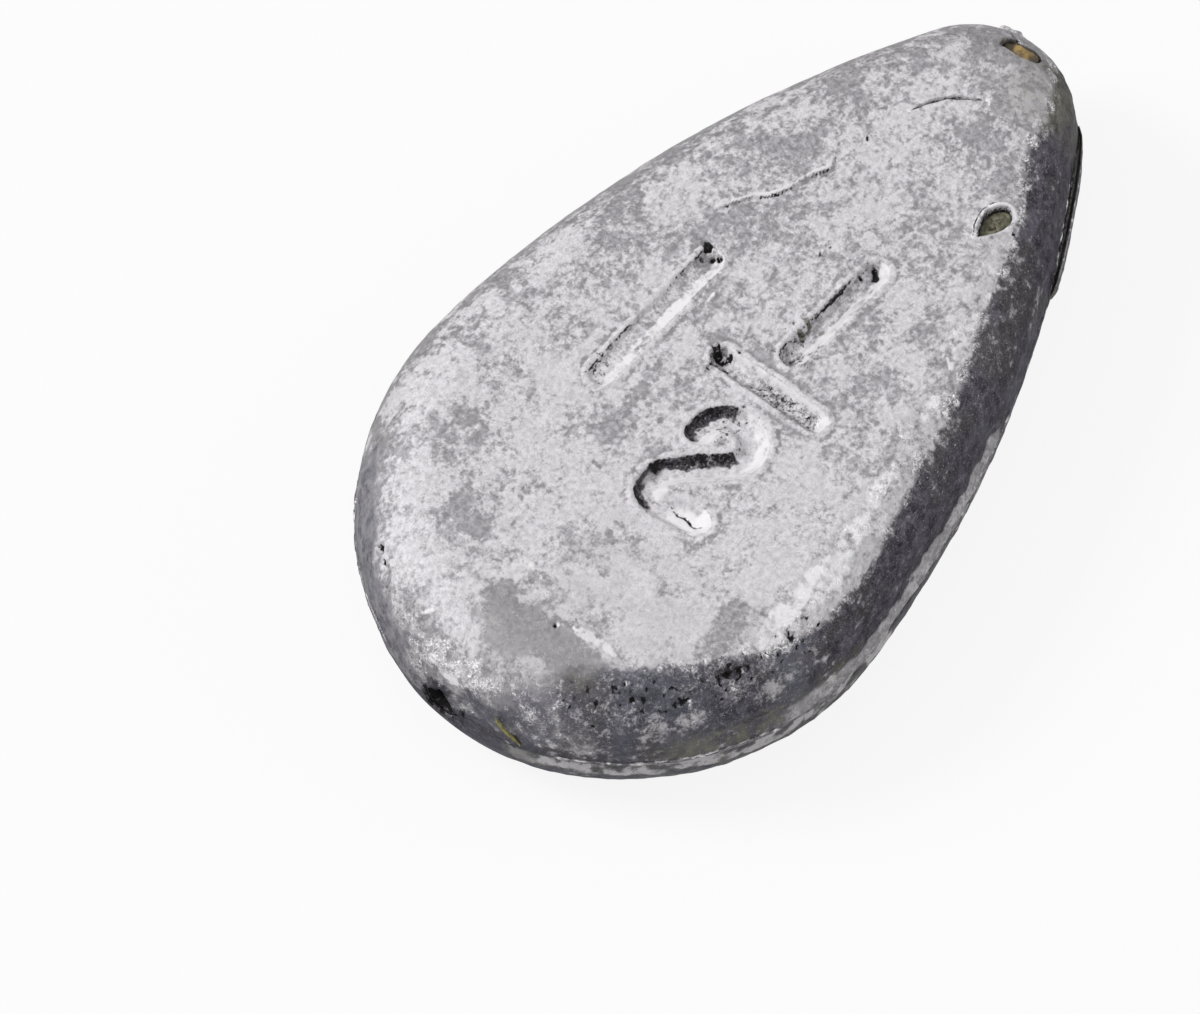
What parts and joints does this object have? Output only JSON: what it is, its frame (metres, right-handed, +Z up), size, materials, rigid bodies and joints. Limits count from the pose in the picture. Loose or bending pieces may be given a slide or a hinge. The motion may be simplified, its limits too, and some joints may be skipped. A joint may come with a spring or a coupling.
{
  "type": "fishing sinker",
  "caption": "Flat teardrop lead sinker with rounded shoulders, a recessed weight number on its face and a bore along its length for the fishing line.",
  "frame": {"origin": "On the resting face, under the middle of the outline's box", "axes": "+X along the line bore towards the narrow tip, +Y across the sinker, +Z up out of the numbered face"},
  "size_m": [0.0362, 0.0216, 0.0075],
  "materials": {
    "oxidised_lead": "cast lead, mottled grey oxide over bluish metal, satin",
    "torn_lead": "torn and rubbed lead, brighter on its edges",
    "amber_deposit": "dried amber deposit, semi-gloss",
    "dried_silt": "dried olive-grey silt, matt",
    "plant_fibre": "yellow-green plant fibre, matt"
  },
  "bodies": {
    "root": {"lead_casting": "oxidised_lead", "gate_stub": "torn_lead", "seam_flash": "torn_lead", "tip_pin_lip": "torn_lead", "wide_pin_lip": "torn_lead", "amber_deposit": "amber_deposit", "pit_silt": "dried_silt", "stuck_fibre": "plant_fibre"}
  },
  "joints": []
}
